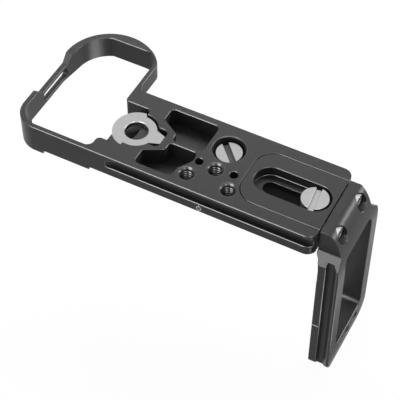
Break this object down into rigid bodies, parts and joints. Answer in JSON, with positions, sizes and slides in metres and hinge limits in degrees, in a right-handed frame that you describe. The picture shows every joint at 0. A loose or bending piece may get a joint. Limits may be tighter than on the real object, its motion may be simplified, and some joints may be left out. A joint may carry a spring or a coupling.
{
  "type": "camera l-bracket",
  "caption": "L-bracket for a camera: dovetail base plate with grip loop, strap slot and parked key, and a side plate that slides out on a clamped tongue.",
  "frame": {"origin": "on the axis of the camera screw, on the face that the camera sits on", "axes": "+X along the plate towards the side plate, +Y across the plate to the round side of the grip loop, +Z out of the tripod face, so the part is stored as pictured, upside down from its use under a camera"},
  "size_m": [0.1472, 0.0646, 0.0815],
  "materials": {
    "anodised": "satin dark anodised",
    "steel": "bright satin",
    "spring_steel": "plain",
    "magnet": "nickel plated"
  },
  "bodies": {
    "base": {"base_plate": "anodised", "key_magnets": "magnet"},
    "arm": {"slide_tongue": "anodised", "side_plate": "anodised", "arm_screws": "steel"},
    "lock_clip": {"lock_screw_clip": "spring_steel"},
    "lock": {"lock_screw": "steel"},
    "stud_clip": {"camera_screw_clip": "spring_steel"},
    "stud": {"camera_screw": "steel"},
    "key": {"flat_key": "steel"}
  },
  "joints": [
    {"name": "arm_slide", "type": "slide", "parent": "base", "child": "arm", "axis": [1, 0, 0], "range_m": [0, 0.019]},
    {"name": "lock_rise", "type": "slide", "parent": "base", "child": "lock_clip", "axis": [0, 0, 1], "range_m": [0, 0.0008]},
    {"name": "lock_turn", "type": "hinge", "parent": "lock_clip", "child": "lock", "pos_m": [0.0407, -0.007, 0.005], "axis": [0, 0, 1], "range_deg": [0, 361]},
    {"name": "stud_float", "type": "slide", "parent": "base", "child": "stud_clip", "axis": [0, 0, 1], "range_m": [0, 0.0018]},
    {"name": "stud_turn", "type": "hinge", "parent": "stud_clip", "child": "stud", "pos_m": [0, 0, 0.004], "axis": [0, 0, 1], "continuous": true},
    {"name": "key_lift", "type": "slide", "parent": "base", "child": "key", "axis": [0, 0, 1], "range_m": [0, 0.025]}
  ],
  "couplings": [
    {"joint": "lock_turn", "follows": "lock_rise", "rad_per_m": 7854}
  ]
}
